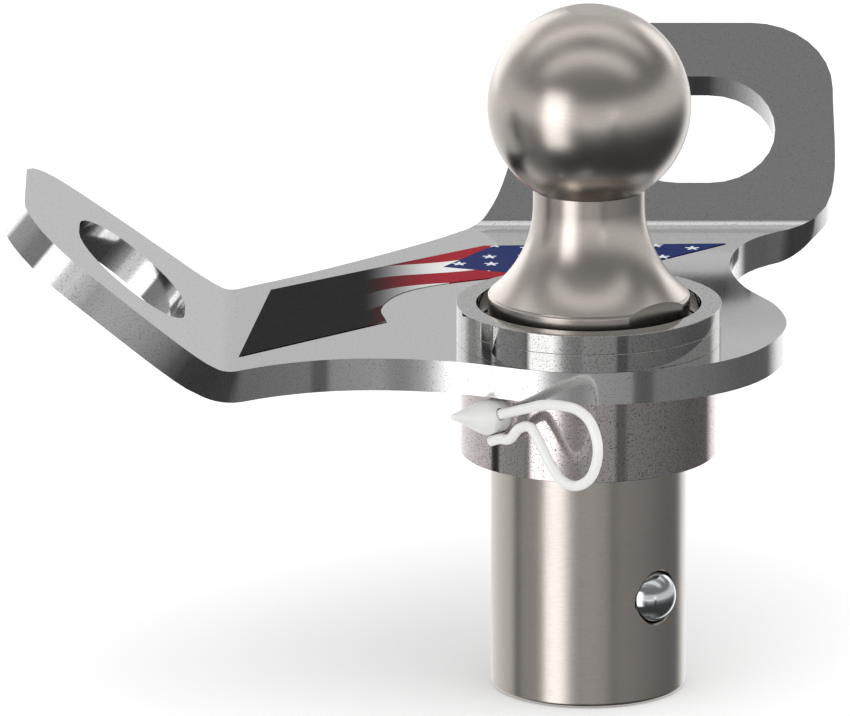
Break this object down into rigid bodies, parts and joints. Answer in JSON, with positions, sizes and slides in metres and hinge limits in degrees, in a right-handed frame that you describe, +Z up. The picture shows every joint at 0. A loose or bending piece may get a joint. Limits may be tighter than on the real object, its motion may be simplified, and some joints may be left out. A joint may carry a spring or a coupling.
{
  "type": "gooseneck hitch ball with safety chain plate",
  "caption": "Gooseneck hitch ball on a round shank with spring detents, held by a cross pin and hairpin clip in a bent plate with raised safety chain arms.",
  "frame": {"origin": "centre of the shank's bottom face", "axes": "+Z up the shank to the ball; one arm of the plate rises towards -X and the other towards +Y"},
  "size_m": [0.2418, 0.2492, 0.201],
  "materials": {
    "forged_steel": "satin nickel plate on forged steel",
    "nickel_plated_steel": "bright nickel plate with fine pits",
    "nickel_plated_ring": "bright nickel plate",
    "nickel_plated_collar": "bright nickel plate",
    "zinc_plated_steel": "pale zinc plate",
    "zinc_plated_wire": "pale zinc plate",
    "chrome_steel": "polished",
    "spring_steel": "drawn wire",
    "printed_film": "printed vinyl film"
  },
  "bodies": {
    "hitch": {"ball_stud": "forged_steel", "chain_plate": "nickel_plated_steel", "lower_ring": "nickel_plated_ring", "upper_ring": "nickel_plated_ring", "collar": "nickel_plated_collar", "detent_spring": "spring_steel", "decal": "printed_film"},
    "pin": {"locking_pin": "zinc_plated_steel"},
    "clip": {"hairpin_clip": "zinc_plated_wire"},
    "front_detent": {"detent_ball_front": "chrome_steel"},
    "back_detent": {"detent_ball_back": "chrome_steel"}
  },
  "joints": [
    {"name": "pin_turn", "type": "hinge", "parent": "hitch", "child": "pin", "pos_m": [0, 0, 0.0873], "axis": [-0.7071, -0.7071, 0], "range_deg": [-35, 12]},
    {"name": "clip_pull", "type": "slide", "parent": "pin", "child": "clip", "axis": [0.6653, -0.6653, 0.3387], "range_m": [0, 0.05]},
    {"name": "front_detent_travel", "type": "slide", "parent": "hitch", "child": "front_detent", "axis": [-0.7071, 0.7071, 0], "range_m": [0, 0.0042], "stiffness_N_per_m": 2000, "springref_m": -0.003, "deforming": ["detent_spring"]},
    {"name": "back_detent_travel", "type": "slide", "parent": "hitch", "child": "back_detent", "axis": [0.7071, -0.7071, 0], "range_m": [0, 0.0042], "stiffness_N_per_m": 2000, "springref_m": -0.003, "deforming": ["detent_spring"]}
  ]
}
